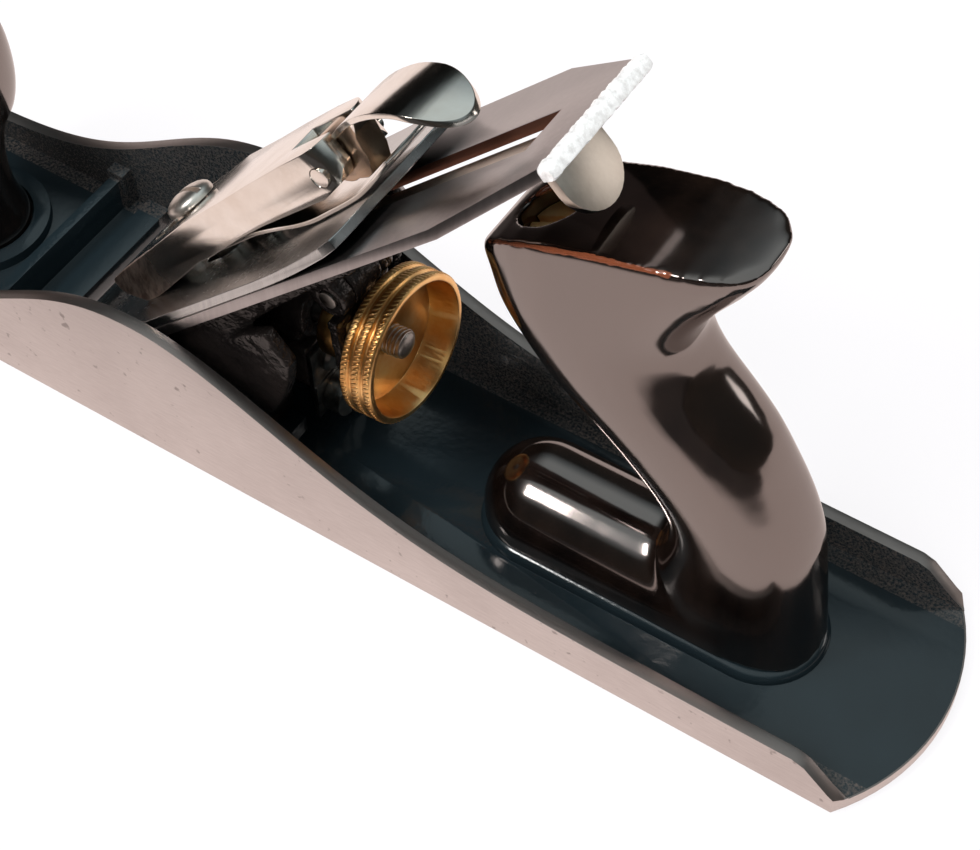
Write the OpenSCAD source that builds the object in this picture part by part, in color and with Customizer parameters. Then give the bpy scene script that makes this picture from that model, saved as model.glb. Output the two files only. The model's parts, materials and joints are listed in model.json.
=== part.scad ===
// Bench plane: cast body, movable frog, cutting iron with cap iron, cammed lever cap,
// rear grip and front knob. X runs to the toe, Y to the left, Z up; the sole is z = 0.

/* [Body] */
// Length of the sole
body_len = 292; // [270:1:330]
// Width of the sole
body_w = 54; // [52:0.5:64]
// Thickness of the sole plate
sole_t = 3; // [2.5:0.1:4]
// Thickness of each cheek
cheek_t = 2.8; // [2:0.1:3.5]
// How far the rounded ends bulge past the corners
end_bulge = 9.35; // [6:0.1:14]
// Height of the cheeks at their hump
hump_h = 38.9; // [34:0.1:44]
// Place of the hump along the body
hump_x = 22; // [18:0.5:26]
// Height of the cheeks near the heel
heel_h = 11.3; // [9:0.1:14]
// Height of the cheeks near the toe
toe_h = 8.2; // [7:0.1:12]

/* [Mouth] */
// Slope of the bed under the iron, from the sole
bed_angle = 45; // [45:1:45]
// Where the plane of the iron's top face meets the sole
edge_x = 55.7; // [54:0.1:56]
// Front edge of the mouth
mouth_front_x = 59; // [58:0.1:61]
// Half the length of the mouth across the body
mouth_half = 23.4; // [22.8:0.1:23.8]
// Height of the thickened lip in front of the mouth
lip_h = 5.5; // [4.5:0.1:7]
// Height of the cross rib
rib_h = 11.5; // [8:0.1:14]
// Rear face of the cross rib
rib_x = 69.8; // [68:0.1:72]
// Thickness of the cross rib
rib_t = 2.6; // [2:0.1:4]

/* [Frog] */
// Thickness of the frog's face plate
plate_t = 5.95; // [5.5:0.05:6.5]
// Half width of the frog at its foot
frog_half = 20; // [19.5:0.1:20.5]
// Half width of the frog at its top
frog_top_half = 11; // [10:0.1:12]
// Top end of the frog, along the bed
frog_top_s = 104; // [103:0.5:108]
// Height of the seats for the frog
seat_h = 7; // [6:0.1:7.5]
// How far the frog can be set forward
frog_travel = 1.6; // [1:0.1:1.6]
// Diameter of the frog screws
frog_screw_d = 5.5; // [4.5:0.1:5.8]

/* [Iron] */
// Width of the iron
iron_w = 44.5; // [40:0.1:45]
// Thickness of the iron
iron_t = 2.3; // [2:0.05:2.6]
// Upper end of the iron, along the bed
iron_end_s = 174.4; // [172:0.1:180]
// Width of the slot in the iron
slot_w = 11; // [10.6:0.1:12]
// Thickness of the cap iron
cap_t = 2; // [1.8:0.05:2.2]
// Upper end of the cap iron, along the bed
cap_end_s = 121; // [118:0.5:122]

/* [Lever cap] */
// Width of the lever cap near its nose
lcap_nose_w = 25.2; // [22:0.1:30]
// Width of the lever cap at its upper end
lcap_end_w = 17.4; // [16:0.1:20]
// Diameter of the pin that the cam turns on
cam_pin_d = 4; // [3:0.1:4.4]
// Width of the cam
cam_w = 5.8; // [5:0.1:6.4]
// Width of the thumb tab on the cam
tab_w = 14.6; // [12:0.1:16]

/* [Adjuster] */
// Diameter of the depth nut's knurled rim
nut_d = 31.5; // [28:0.1:31.9]
// Diameter of the stud that the nut turns on
stud_d = 6; // [5:0.1:6.5]
// Diameter of the yoke's pin
yoke_pin_d = 4; // [3:0.1:5]

/* [Grip and knob] */
// Diameter of the rods through the grip and the knob
rod_d = 6; // [5:0.1:6.5]
// Diameter of the two brass cap nuts
cap_nut_d = 12.4; // [11:0.1:13]
// Half width of the rear grip
grip_half = 12.2; // [11:0.1:12.6]
// Largest diameter of the knob
knob_d = 32.4; // [30:0.1:34]
// Distance of the knob's axis from the toe end
knob_inset = 51.5; // [50:0.1:52.5]
// Outer diameter of the ring cast round the knob's foot
ring_d = 32; // [30:0.5:34]

/* [Clearances] */
// Gap between faces that slide on each other
slide_gap = 0.05; // [0.03:0.01:0.08]
// Radial clearance of a pin in its hole
pin_gap = 0.05; // [0.03:0.01:0.08]
// Radial clearance of a rod or a screw that passes through
pass_gap = 0.3; // [0.2:0.05:0.5]

/* [Hidden] */
$fn = 64;
eps = 0.01;

inner_half = body_w / 2 - cheek_t;
end_r = (pow(body_w / 2, 2) + pow(end_bulge, 2)) / (2 * end_bulge);
corner_x = body_len / 2 - end_bulge;
land_gap = 0.3;
frog_face_h = -iron_t - slide_gap;
plate_low_h = frog_face_h - plate_t;

// Height of a cheek's top edge at a place along the body
function cheek_z(x) =
    let (curve = x < hump_x
        ? heel_h + (hump_h - heel_h) * exp(-pow((hump_x - x) / 47.5, 1.85))
        : toe_h + (hump_h - toe_h) * exp(-pow((x - hump_x) / 46.6, 2.3)),
        ramp = sole_t + 1.2 + 0.94 * (corner_x - abs(x)))
    max(sole_t + 0.4, min(curve, ramp));

// A smooth line through hand-set points, four steps between each pair
function spline_point(p, i, t) =
    let (n = len(p), a = p[max(i - 1, 0)], b = p[i], c = p[min(i + 1, n - 1)], d = p[min(i + 2, n - 1)])
    0.5 * (2 * b + (c - a) * t + (2 * a - 5 * b + 4 * c - d) * t * t + (3 * b - a - 3 * c + d) * t * t * t);
function smooth(p, steps = 4) =
    concat([for (i = [0:len(p) - 2]) for (k = [0:steps - 1]) spline_point(p, i, k / steps)], [p[len(p) - 1]]);

// Children drawn with x = minus the distance up the bed and z = height over the iron's top face
module bed() {
    translate([edge_x, 0, 0]) rotate([0, bed_angle, 0]) children();
}

// A side view drawn as (x, z) points, made w thick and centred on y
module side(w, y = 0) {
    translate([0, y + w / 2, 0]) rotate([90, 0, 0]) linear_extrude(w) children();
}

// A side view in bed coordinates, drawn as (distance up the bed, height) points
module bed_side(w, y = 0) {
    bed() mirror([1, 0, 0]) side(w, y) children();
}

module plan() {
    intersection() {
        square([body_len + 1, body_w], center = true);
        union() {
            translate([-corner_x + eps, -body_w / 2]) square([2 * (corner_x - eps), body_w]);
            for (m = [0, 1]) mirror([m, 0]) intersection() {
                translate([body_len / 2 - end_r, 0]) circle(end_r, $fn = 128);
                translate([0, -body_w]) square([body_len, 2 * body_w]);
            }
        }
    }
}

// Depth nut's axis: t runs forward from the centre of the nut's rear rim
nut_x = -27.5;
nut_z = 36.75;
nut_tilt = 4.6;
module nut_axis(t = 0) {
    translate([nut_x, 0, nut_z]) rotate([0, 90 + nut_tilt, 0]) translate([0, 0, t]) children();
}
groove_t = 12.8;
groove_w = 3.7;
fork_t = 2.2;
groove_r = 5.6;
hub_r = 8;
stud_end_t = 32.5;
boss_t = 23.5;

// Yoke pin: centre in the row's x and z
yoke_x = -13;
yoke_z = 50.5;
yoke_s = (yoke_z * sqrt(2)) - (yoke_x + yoke_z - edge_x) / sqrt(2);
yoke_h = (yoke_x + yoke_z - edge_x) / sqrt(2);

// Rear grip: seat, rod and cap nut
grip_seat = 5.5;
nut_top_x = -60.7;
nut_top_z = 93.4;
rod_lean = 29;
module rod_axis(t = 0) {
    translate([nut_top_x, 0, nut_top_z]) rotate([0, rod_lean, 0]) translate([0, 0, t]) children();
}
rod_low_t = -(nut_top_z - 1.6) / cos(rod_lean);
knob_top = 66.8;
knob_x = body_len / 2 - knob_inset;

// Frog screws
fs_x = 22;
fs_y = 12.6;
fs_seat = 12.5;

// Frog adjusting screw
adj_z = 10;
adj_r = 2.6;

// Lever cap screw and cap iron screw, along the bed
lcs_s = 55;
lcs_r = 3.1;
lcs_head_h = 13.35;
cis_s = 34;
cis_r = 3.9;
roller_s = 92.5;
rivet_s = 101.5;

module body_casting() {
    color("#1b2226") difference() {
        union() {
            linear_extrude(sole_t) plan();
            // the two cheeks
            intersection() {
                linear_extrude(hump_h + 1) difference() {
                    plan();
                    square([body_len + 4, 2 * inner_half], center = true);
                }
                side(body_w + 2) polygon(concat(
                    [[-body_len / 2 - 1, 0]],
                    [for (i = [0:110]) let (x = -body_len / 2 + i * body_len / 110) [x, cheek_z(x)]],
                    [[body_len / 2 + 1, 0]]));
            }
            // bed land behind the mouth
            side(2 * inner_half + 1) polygon([[edge_x - iron_t * sqrt(2) - land_gap - 7.7, 7.7],
                [edge_x - iron_t * sqrt(2) - land_gap, 0], [edge_x - iron_t * sqrt(2) - land_gap - 7.7, 0]]);
            // seats for the frog
            for (m = [-1, 1]) translate([-3, m * 14 - 6, sole_t - 1]) cube([47, 12, seat_h - sole_t + 1]);
            // boss for the frog adjusting screw
            translate([10, -5, sole_t - 1]) cube([12, 10, adj_z + 4 - sole_t + 1]);
            // lip in front of the mouth, and the cross rib with its post
            translate([mouth_front_x, -inner_half - 0.5, 0]) cube([6, 2 * inner_half + 1, lip_h]);
            translate([rib_x, -inner_half - 0.5, 0]) cube([rib_t, 2 * inner_half + 1, rib_h]);
            translate([rib_x - 1, -inner_half - 0.5, 0]) cube([rib_t + 2, 3.5, rib_h + 1.5]);
            // raised seat for the grip
            linear_extrude(grip_seat) {
                for (x = [-57.2, -107.2]) translate([x, 0]) circle(13.2);
                translate([-107.2, -13.2]) square([50, 26.4]);
            }
            // raised ring round the knob's foot
            translate([knob_x, 0, 0]) cylinder(r = ring_d / 2, h = sole_t + 2.6);
        }
        // mouth, sloped behind to match the bed
        side(2 * mouth_half) polygon([[edge_x - iron_t * sqrt(2) - land_gap + 1, -1], [mouth_front_x, -1],
            [mouth_front_x, 20], [edge_x - iron_t * sqrt(2) - land_gap - 20, 20]]);
        translate([knob_x, 0, sole_t]) cylinder(r = ring_d / 2 - 3.8, h = 10);
        // tapped holes
        for (m = [-1, 1]) translate([fs_x, m * fs_y, 1.2]) cylinder(r = frog_screw_d / 2 + pin_gap, h = 20);
        translate([0, 0, adj_z]) rotate([0, 90, 0]) cylinder(r = adj_r + pin_gap, h = 30);
        translate([knob_x, 0, 1]) cylinder(r = rod_d / 2 + pin_gap, h = 20);
        rod_axis(rod_low_t) cylinder(r = rod_d / 2 + pin_gap, h = 20);
    }
}

module frog() {
    low = plate_low_h;
    color("#17191b") difference() {
        union() {
            // face plate, narrowing to its top
            bed() translate([0, 0, low]) linear_extrude(plate_t) polygon([
                [-(seat_h * sqrt(2) - low) - 0.1, -frog_half], [-(seat_h * sqrt(2) - low) - 0.1, frog_half],
                [-58, frog_half], [-66, frog_half - 1.5], [-76, frog_top_half + 3], [-86, frog_top_half + 0.6],
                [-frog_top_s + 3, frog_top_half], [-frog_top_s, frog_top_half - 3],
                [-frog_top_s, -frog_top_half + 3], [-frog_top_s + 3, -frog_top_half],
                [-86, -frog_top_half - 0.6], [-76, -frog_top_half - 3], [-66, -frog_half + 1.5],
                [-58, -frog_half]]);
            // foot
            side(2 * frog_half - 0.4) polygon([[1, seat_h], [42, seat_h], [42, 12], [38.5, 15.5], [1, 15.5]]);
            // side walls with curved rear edges
            for (m = [-1, 1]) side(3.2, m * (frog_half - 1.9)) polygon(concat(
                [[30, 13.5]], [for (a = [0:8]) [-1 - 10 * sin(a * 11), 15 + 26 * (a / 8)]],
                [[-6, 47.5], [0, 43.5]]));
            // boss for the stud, with its rib
            nut_axis(boss_t) cylinder(r = 6.5, h = 16);
            side(7) polygon([[0, 14], [29, 14], [9.5, 33], [0, 33]]);
            side(11.6) polygon([[-3.4, 14.5], [4, 14.5], [4, 26], [-3.4, 26]]);
            // ears for the yoke's pin
            for (m = [-1, 1]) side(3.6, m * 6.2) translate([yoke_x, yoke_z]) {
                circle(4.4);
                rotate(bed_angle) translate([0, -4.2]) square([low - yoke_h + 0.5, 8.4]);
            }
            // boss behind the tapped hole for the lever cap screw
            bed() translate([-lcs_s, 0, low - 4]) cylinder(r = 6.5, h = 5);
        }
        // channel over the body's boss
        translate([-2, -6.1, 0]) cube([31, 12.2, adj_z + 4.4]);
        translate([-10, 0, adj_z]) rotate([0, 90, 0]) cylinder(r = adj_r + 1, h = 44);
        // slot for the yoke's upper arm
        bed() translate([-88, -4, low - 8]) cube([7.5, 8, 30]);
        // recess for the cap iron screw's head
        bed() {
            translate([-42, -8.6, frog_face_h - 4.5]) cube([17, 17.2, 10]);
            translate([-lcs_s, 0, low - 3]) cylinder(r = lcs_r + pin_gap, h = 30);
            // groove for the lateral lever and hole for its rivet
            translate([-frog_top_s - 5, -6.4, frog_face_h - 2]) cube([frog_top_s + 5 - 87.4, 12.8, 10]);
            translate([-rivet_s, 0, low - 5]) cylinder(r = 2 + pin_gap, h = 20);
        }
        // recesses and slots for the frog screws
        for (m = [-1, 1]) for (k = [0:1]) {
            translate([fs_x - frog_travel * k, m * fs_y, fs_seat]) cylinder(r = 6.5, h = 40);
            translate([fs_x - frog_travel * k, m * fs_y, 0]) cylinder(r = 3.4, h = 40);
        }
        for (m = [-1, 1]) {
            translate([fs_x - frog_travel, m * fs_y - 6.4, fs_seat]) cube([frog_travel, 12.8, 40]);
            translate([fs_x - frog_travel, m * fs_y - 3.3, 0]) cube([frog_travel, 6.6, 40]);
        }
        // bore for the stud
        nut_axis(boss_t - 2) cylinder(r = stud_d / 2 + pin_gap, h = stud_end_t - boss_t + 2.3);
        // hole for the yoke's pin
        translate([yoke_x, 12, yoke_z]) rotate([90, 0, 0]) cylinder(r = yoke_pin_d / 2 + pin_gap, h = 24);
        // tapped hole for the clip's screw
        translate([-6, 0, 21]) rotate([0, 90, 0]) cylinder(r = 1.8 + pin_gap, h = 9);
        // the face that the iron lies on
        bed() translate([-200, -40, frog_face_h]) cube([220, 80, 20]);
    }
}

module slotted_head(r, h, slot = 1.2) {
    difference() {
        union() {
            cylinder(r = r, h = h * 0.6);
            translate([0, 0, h * 0.6]) cylinder(r1 = r, r2 = r * 0.75, h = h * 0.4);
        }
        translate([-r - 1, -slot / 2, h * 0.55]) cube([2 * r + 2, slot, h]);
    }
}

module frog_screws() {
    color("#8d8f90") for (m = [-1, 1]) translate([fs_x, m * fs_y, 0]) {
        translate([0, 0, 1.6]) cylinder(r = frog_screw_d / 2, h = fs_seat + 1.5 - 1.6 + eps);
        translate([0, 0, fs_seat + 1.5]) slotted_head(5, 4);
    }
}

module frog_washers() {
    color("#a3a4a4") for (m = [-1, 1]) translate([fs_x, m * fs_y, fs_seat]) difference() {
        cylinder(r = 6, h = 1.5);
        translate([0, 0, -1]) cylinder(r = frog_screw_d / 2 + pin_gap, h = 4);
    }
}

module frog_adjusting_screw() {
    color("#9b9c9c") translate([-9.4, 0, adj_z]) rotate([0, 90, 0]) difference() {
        union() {
            cylinder(r = 4.8, h = 4);
            cylinder(r = 2.3, h = 6);
            translate([0, 0, 5.4]) cylinder(r = 4, h = 1.6);
            translate([0, 0, 5.4]) cylinder(r = adj_r, h = 27);
        }
        translate([-6, -0.6, -1]) cube([12, 1.2, 2.2]);
    }
}

module frog_clip() {
    color("#77797b") difference() {
        union() {
            translate([-4.7, -6, 14.6]) cube([1.2, 12, 10.7]);
            translate([-5.3, -6, 6]) cube([1.2, 12, 9.6]);
        }
        translate([-8, 0, adj_z]) rotate([0, 90, 0]) cylinder(r = 2.3 + pin_gap, h = 8);
        translate([-8, -2.35, 0]) cube([8, 4.7, adj_z]);
        translate([-8, 0, 21]) rotate([0, 90, 0]) cylinder(r = 1.8 + pin_gap, h = 8);
    }
}

module clip_screw() {
    color("#9b9c9c") translate([-4.7, 0, 21]) rotate([0, 90, 0]) {
        cylinder(r = 1.8, h = 6.5);
        rotate([180, 0, 0]) slotted_head(3.6, 2, 0.9);
    }
}

module yoke() {
    color("#25282a") difference() {
        union() {
            translate([yoke_x, 4.2, yoke_z]) rotate([90, 0, 0]) cylinder(r = 4.4, h = 8.4);
            // upper arm, square to the bed
            bed() translate([-yoke_s - 1.5, -3, yoke_h + 2]) cube([3, 6, cap_t - 0.3 - yoke_h - 2]);
            // neck, crossbar and fork
            nut_axis(groove_t - fork_t / 2) {
                translate([-14.6, -3.6, 0]) cube([8.2, 7.2, fork_t]);
                translate([-9.4, -9, 0]) cube([3.2, 18, fork_t]);
                for (m = [-1, 1]) translate([-9.4, m * 7.5 - 1.5, 0]) cube([13.4, 3, fork_t]);
                for (m = [-1, 1]) translate([4, m * 7.5, 0]) cylinder(r = 1.5, h = fork_t);
            }
        }
        translate([yoke_x, 12, yoke_z]) rotate([90, 0, 0]) cylinder(r = yoke_pin_d / 2 + pin_gap, h = 24);
    }
}

module yoke_pin() {
    color("#9b9c9c") translate([yoke_x, 8.2, yoke_z]) rotate([90, 0, 0]) cylinder(r = yoke_pin_d / 2, h = 16.4);
}

module depth_stud() {
    color("#7d7b77") nut_axis(2.5) cylinder(r = stud_d / 2, h = stud_end_t - 2.5);
}

module depth_nut() {
    r = nut_d / 2;
    color("#c8902c") nut_axis() rotate_extrude($fn = 96) polygon([
        [r - 1.4, 0], [r - 0.4, 0], [r, 0.4], [r, 1.7], [r - 0.7, 2.1], [r - 0.7, 2.6], [r, 3], [r, 4.5],
        [r - 0.7, 4.9], [r - 0.7, 5.4], [r, 5.8], [r, 7.1], [r - 0.4, 7.5], [hub_r, 8.4],
        [hub_r, groove_t - groove_w / 2], [groove_r, groove_t - groove_w / 2],
        [groove_r, groove_t + groove_w / 2], [hub_r, groove_t + groove_w / 2], [hub_r, 18.5], [hub_r - 0.5, 19],
        [stud_d / 2 + pin_gap, 19], [stud_d / 2 + pin_gap, 6.5], [r - 2.4, 6.5]]);
}

module lateral_lever() {
    top_h = frog_face_h - 0.05;
    color("#8f9294") difference() {
        union() {
            bed() {
                translate([-roller_s, 0, top_h - 1.9]) cylinder(r = 4.4, h = 1.9);
                translate([-164, -4.2, top_h - 1.9]) cube([164 - roller_s, 8.4, 1.9]);
                translate([-rivet_s, 0, top_h - 1.9]) cylinder(r = 5.6, h = 1.9);
                // thumb tab, bent down
                translate([-164, 0, top_h - 1.9]) rotate([0, 90, 0]) linear_extrude(2) intersection() {
                    hull() {
                        translate([-1.4, -6.6]) square([2, 14.2]);
                        translate([4.6, 0.6]) circle(7.2, $fn = 32);
                    }
                    translate([-1.9, -20]) square(40);
                }
            }
        }
        bed() {
            translate([-rivet_s, 0, -20]) cylinder(r = 2 + pin_gap, h = 30);
            translate([-roller_s, 0, -20]) cylinder(r = 1.8 + pin_gap, h = 30);
        }
    }
}

module lateral_rivet() {
    color("#9fa1a1") bed() translate([-rivet_s, 0, 0]) {
        translate([0, 0, plate_low_h]) cylinder(r = 2, h = plate_t + eps);
        translate([0, 0, frog_face_h]) cylinder(r = 3.2, h = 0.9);
    }
}

module lateral_roller() {
    color("#b0b1b0") bed() translate([-roller_s, 0, 0]) {
        translate([0, 0, frog_face_h - 1.95]) cylinder(r = 1.8, h = 2.2);
        translate([0, 0, frog_face_h]) cylinder(r = slot_w / 2 - 0.75, h = iron_t - 0.3);
    }
}

module iron() {
    w = iron_w / 2;
    color("#a2a4a5") bed() difference() {
        translate([0, 0, -iron_t]) linear_extrude(iron_t) polygon([[-0.35, -w], [-0.35, w], [-148, w],
            [-iron_end_s + 3, 14.6], [-iron_end_s, 14.3], [-iron_end_s, -14.3], [-iron_end_s + 3, -14.6],
            [-148, -w]]);
        // ground bevel on the underside
        translate([-0.35, 0, 0]) rotate([0, 65, 0]) translate([0, -30, -10]) cube([30, 60, 20]);
        translate([-159.5, -slot_w / 2, -10]) cube([159.5 - 28, slot_w, 20]);
        translate([-28, 0, -10]) cylinder(r = slot_w / 2, h = 20);
    }
}

module cap_iron() {
    bow = [for (i = [0:8]) let (s = 88 + (cap_end_s - 88) * i / 8) [s, 2.4 * pow((s - 88) / 36, 2)]];
    top = concat([[1.8, 0], [2.2, 1.4], [3.4, 3], [5.2, 4], [7.5, 4.3], [10.5, 4], [14, 3], [17.5, 2.2],
        [21, cap_t]], [for (p = bow) [p[0], p[1] + cap_t]]);
    low = concat([for (i = [8:-1:0]) [bow[i][0], bow[i][1]]], [[21, 0], [17, 0.3], [13.5, 1.1], [10, 2],
        [7.5, 2.2], [5.5, 1.9], [4, 0.8], [3.2, 0]]);
    color("#b5b6b5") intersection() {
        difference() {
            bed_side(44) polygon(concat(top, low));
            bed() {
                translate([-cis_s, 0, -5]) cylinder(r = cis_r + pin_gap, h = 20);
                for (k = [-1, 1]) translate([-lcs_s + k * 2, 0, -5]) cylinder(r = 4.5, h = 20);
                translate([-lcs_s - 2, -4.5, -5]) cube([4, 9, 20]);
                translate([-yoke_s - 1.7, -3.4, -5]) cube([3.4, 6.8, 20]);
            }
        }
        bed() translate([0, 0, -20]) linear_extrude(60) polygon([[-1, -22], [-1, 22], [-cap_end_s + 4, 22],
            [-cap_end_s + 1, 21], [-cap_end_s, 18], [-cap_end_s, -18], [-cap_end_s + 1, -21],
            [-cap_end_s + 4, -22]]);
    }
}

module cap_iron_screw() {
    color("#6f7173") bed() translate([-cis_s, 0, 0]) {
        translate([0, 0, -iron_t]) cylinder(r = cis_r, h = iron_t + cap_t);
        translate([0, 0, -iron_t]) rotate([180, 0, 0]) slotted_head(7.4, 3.4, 1.6);
    }
}

lcap_top = [[29.6, 8.4], [31.4, 9.5], [34.5, 10], [42, 11], [50, 11.9], [58, 12.9], [66, 13.9], [73, 14.2],
    [80, 14.5], [91, 15.2], [104, 15.8], [115, 15.9]];
lcap_low = [[115, 10], [113.5, 7.6], [108, 6.4], [87, 6.6], [78.6, 6.3], [66, 5.25], [61, 5.25], [44.3, 2.6],
    [40, cap_t + slide_gap], [35.8, cap_t + slide_gap], [33, 4], [30.2, 6.4]];
pin_s = 111;
pin_h = 10.5;

module lever_cap() {
    color("#c9c3ba") difference() {
        intersection() {
            bed_side(40) polygon(concat(lcap_top, lcap_low));
            bed() translate([0, 0, -1]) linear_extrude(30) {
                polygon(concat([[-28, lcap_nose_w / 2 - 1], [-28, -lcap_nose_w / 2 + 1], [-31, -lcap_nose_w / 2]],
                    [for (a = [0:10:90]) [-110 - 5 * sin(a), -lcap_end_w / 2 + 5 - 5 * cos(a)]],
                    [for (a = [90:-10:0]) [-110 - 5 * sin(a), lcap_end_w / 2 - 5 + 5 * cos(a)]],
                    [[-31, lcap_nose_w / 2]]));
            }
        }
        bed() {
            // keyhole
            translate([-lcs_s, 0, 0]) cylinder(r = lcs_r + pass_gap, h = 30);
            translate([-lcs_s, -lcs_r - pass_gap, 0]) cube([9.5, 2 * (lcs_r + pass_gap), 30]);
            translate([-45.5, 0, 0]) cylinder(r = 6.2, h = 30);
            // slot for the cam and hole for its pin
            translate([-120, -cam_w / 2 - 0.3, 0]) cube([18.5, cam_w + 0.6, 30]);
            translate([-pin_s, 20, pin_h]) rotate([90, 0, 0]) cylinder(r = cam_pin_d / 2 + pin_gap, h = 40);
            translate([-70, 0, 2]) cylinder(r = 1.6 + pin_gap, h = 6.4);
        }
    }
}

module cam_lever() {
    tab = smooth([[116.4, 14.9], [122, 16.3], [128, 17], [134, 16.5], [138.7, 15], [142.3, 12.6],
        [144.8, 10], [147.6, 6.6]], 3);
    end_s = 139.9;
    root_s = 116.9;
    n = len(tab) - 1;
    color("#cfcac3") {
        difference() {
            union() {
                bed_side(cam_w) polygon(concat(
                    [for (a = [60:15:285]) [pin_s + 5.2 * cos(a), pin_h + 5.2 * sin(a)]],
                    [[114.8, 4.95], [116.6, 5.3], [118.4, 8], [119.6, 12.4], [123, 16.2], [117.6, 15.5],
                     [115.6, 14.6]]));
                intersection() {
                    bed_side(tab_w) polygon(concat(
                        [for (i = [0:n]) [tab[i][0] + 0.2, tab[i][1] + 0.6]],
                        [for (i = [n:-1:0]) [tab[i][0] - 0.2, tab[i][1] - 0.6]]));
                    bed() linear_extrude(30) {
                        translate([-end_s, 0]) circle(tab_w / 2);
                        polygon([[-end_s, -tab_w / 2], [-134, -tab_w / 2], [-127, -tab_w / 2 + 0.5],
                            [-121, -tab_w / 2 + 1.7], [-root_s, -tab_w / 2 + 2.6], [-root_s, tab_w / 2 - 2.6],
                            [-121, tab_w / 2 - 1.7], [-127, tab_w / 2 - 0.5], [-134, tab_w / 2],
                            [-end_s, tab_w / 2]]);
                    }
                }
            }
            bed() translate([-pin_s, 20, pin_h]) rotate([90, 0, 0])
                cylinder(r = cam_pin_d / 2 + pin_gap, h = 40);
        }
    }
}

module cam_pin() {
    color("#a9a7a2") bed() translate([-pin_s, lcap_end_w / 2 - 0.05, pin_h]) rotate([90, 0, 0])
        cylinder(r = cam_pin_d / 2, h = lcap_end_w - 0.1);
}

spring_t = 0.9;
spring_line = smooth([[61.5, 4.75], [66, 4.75], [73.4, 4.9], [79, 4.9], [86, 4.2], [92, 3.35], [98.1, 3],
    [104, 3.3], [110, 3.65], [116, 4.3], [122.8, 5.9], [129, 7.9]], 3);
module cap_spring() {
    n = len(spring_line) - 1;
    color("#b9b6b0") difference() {
        bed_side(15) polygon(concat(
            [for (i = [0:n]) [spring_line[i][0], spring_line[i][1] + spring_t / 2]],
            [for (i = [n:-1:0]) [spring_line[i][0] + 0.02, spring_line[i][1] - spring_t / 2]]));
        bed() translate([-70, 0, 0]) cylinder(r = 1.6 + pin_gap, h = 20);
    }
}

module spring_rivet() {
    color("#a9a7a2") bed() translate([-70, 0, 0]) {
        translate([0, 0, 3.5]) cylinder(r = 1.6, h = 4.7);
        translate([0, 0, 2.9]) cylinder(r = 3, h = 1.35);
    }
}

module lever_cap_screw() {
    color("#b4b1ac") bed() translate([-lcs_s, 0, 0]) difference() {
        union() {
            translate([0, 0, plate_low_h - 1.5]) cylinder(r = lcs_r, h = lcs_head_h - plate_low_h + 1.5 + eps);
            translate([0, 0, lcs_head_h]) cylinder(r = 5.4, h = 0.9);
            translate([0, 0, lcs_head_h + 0.9]) rotate_extrude() polygon(concat([[0, 0]],
                [for (a = [0:15:90]) [5.4 * cos(a), 2.3 * sin(a)]]));
        }
        translate([-6, -0.6, lcs_head_h + 1.7]) cube([12, 1.2, 3]);
    }
}

// Grip stations: front x, z, rear x, z, half width, squareness, crown
grip = smooth([
    [-79, 5.5, -119.4, 5.5, 1, 2.6, 0], [-82.4, 14, -118.5, 16, 0.99, 2.5, 0],
    [-85.8, 23, -117.2, 26.8, 0.98, 2.4, 0], [-86.6, 29.1, -116, 36.5, 0.97, 2.3, 0],
    [-85.6, 35.6, -113, 44.7, 0.97, 2.3, 0], [-81, 42.2, -109.2, 52.2, 0.97, 2.3, 0],
    [-73.7, 49.1, -104.8, 60, 0.97, 2.3, 0], [-66.4, 55.5, -99.1, 66.6, 0.98, 2.3, 0],
    [-59.6, 61.7, -93.2, 72.7, 0.98, 2.4, 0], [-54.7, 68.1, -89.4, 79.4, 0.99, 2.5, 0.7],
    [-51.1, 73.9, -89.8, 85, 1, 2.7, 2.2], [-50.2, 78, -93.2, 92.2, 1, 3, 4],
    [-49.7, 81, -97.2, 98.6, 1, 3.2, 5.5], [-49, 83, -101.2, 104.8, 1, 3.2, 6.6],
    [-49.6, 85.2, -102.4, 108.6, 1, 3.2, 7.3]], 2);
ring_n = 28;
function power(v, e) = sign(v) * pow(abs(v), e);
function grip_ring(g) = [for (j = [0:ring_n - 1])
    let (a = 360 * j / ring_n, e = 2 / g[5], u = 0.5 - 0.5 * power(cos(a), e),
         bow = 2.36 * pow(u, 0.45) * pow(1 - u, 0.9) * g[6], len_fr = norm([g[2] - g[0], g[3] - g[1]]))
    [g[0] + (g[2] - g[0]) * u + bow * (g[3] - g[1]) / len_fr, grip_half * g[4] * power(sin(a), e),
     g[1] + (g[3] - g[1]) * u - bow * (g[2] - g[0]) / len_fr]];

module grip_loft() {
    rings = [for (g = grip) grip_ring(g)];
    m = len(rings);
    half = ring_n / 2;
    polyhedron(
        points = [for (r = rings) for (p = r) p],
        faces = concat(
            [for (i = [0:m - 2]) for (j = [0:ring_n - 1])
                let (k = (j + 1) % ring_n, a = i * ring_n) [a + j, a + ring_n + j, a + k]],
            [for (i = [0:m - 2]) for (j = [0:ring_n - 1])
                let (k = (j + 1) % ring_n, a = i * ring_n) [a + k, a + ring_n + j, a + ring_n + k]],
            [[for (j = [0:ring_n - 1]) j]],
            [for (j = [0:half - 1]) let (a = (m - 1) * ring_n)
                j == 0 ? [a, a + ring_n - 1, a + 1]
                : j == half - 1 ? [a + j, a + ring_n - j, a + half]
                : [a + j, a + ring_n - j, a + ring_n - j - 1]],
            [for (j = [1:half - 2]) let (a = (m - 1) * ring_n) [a + j, a + ring_n - j - 1, a + j + 1]]),
        convexity = 4);
}

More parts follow.
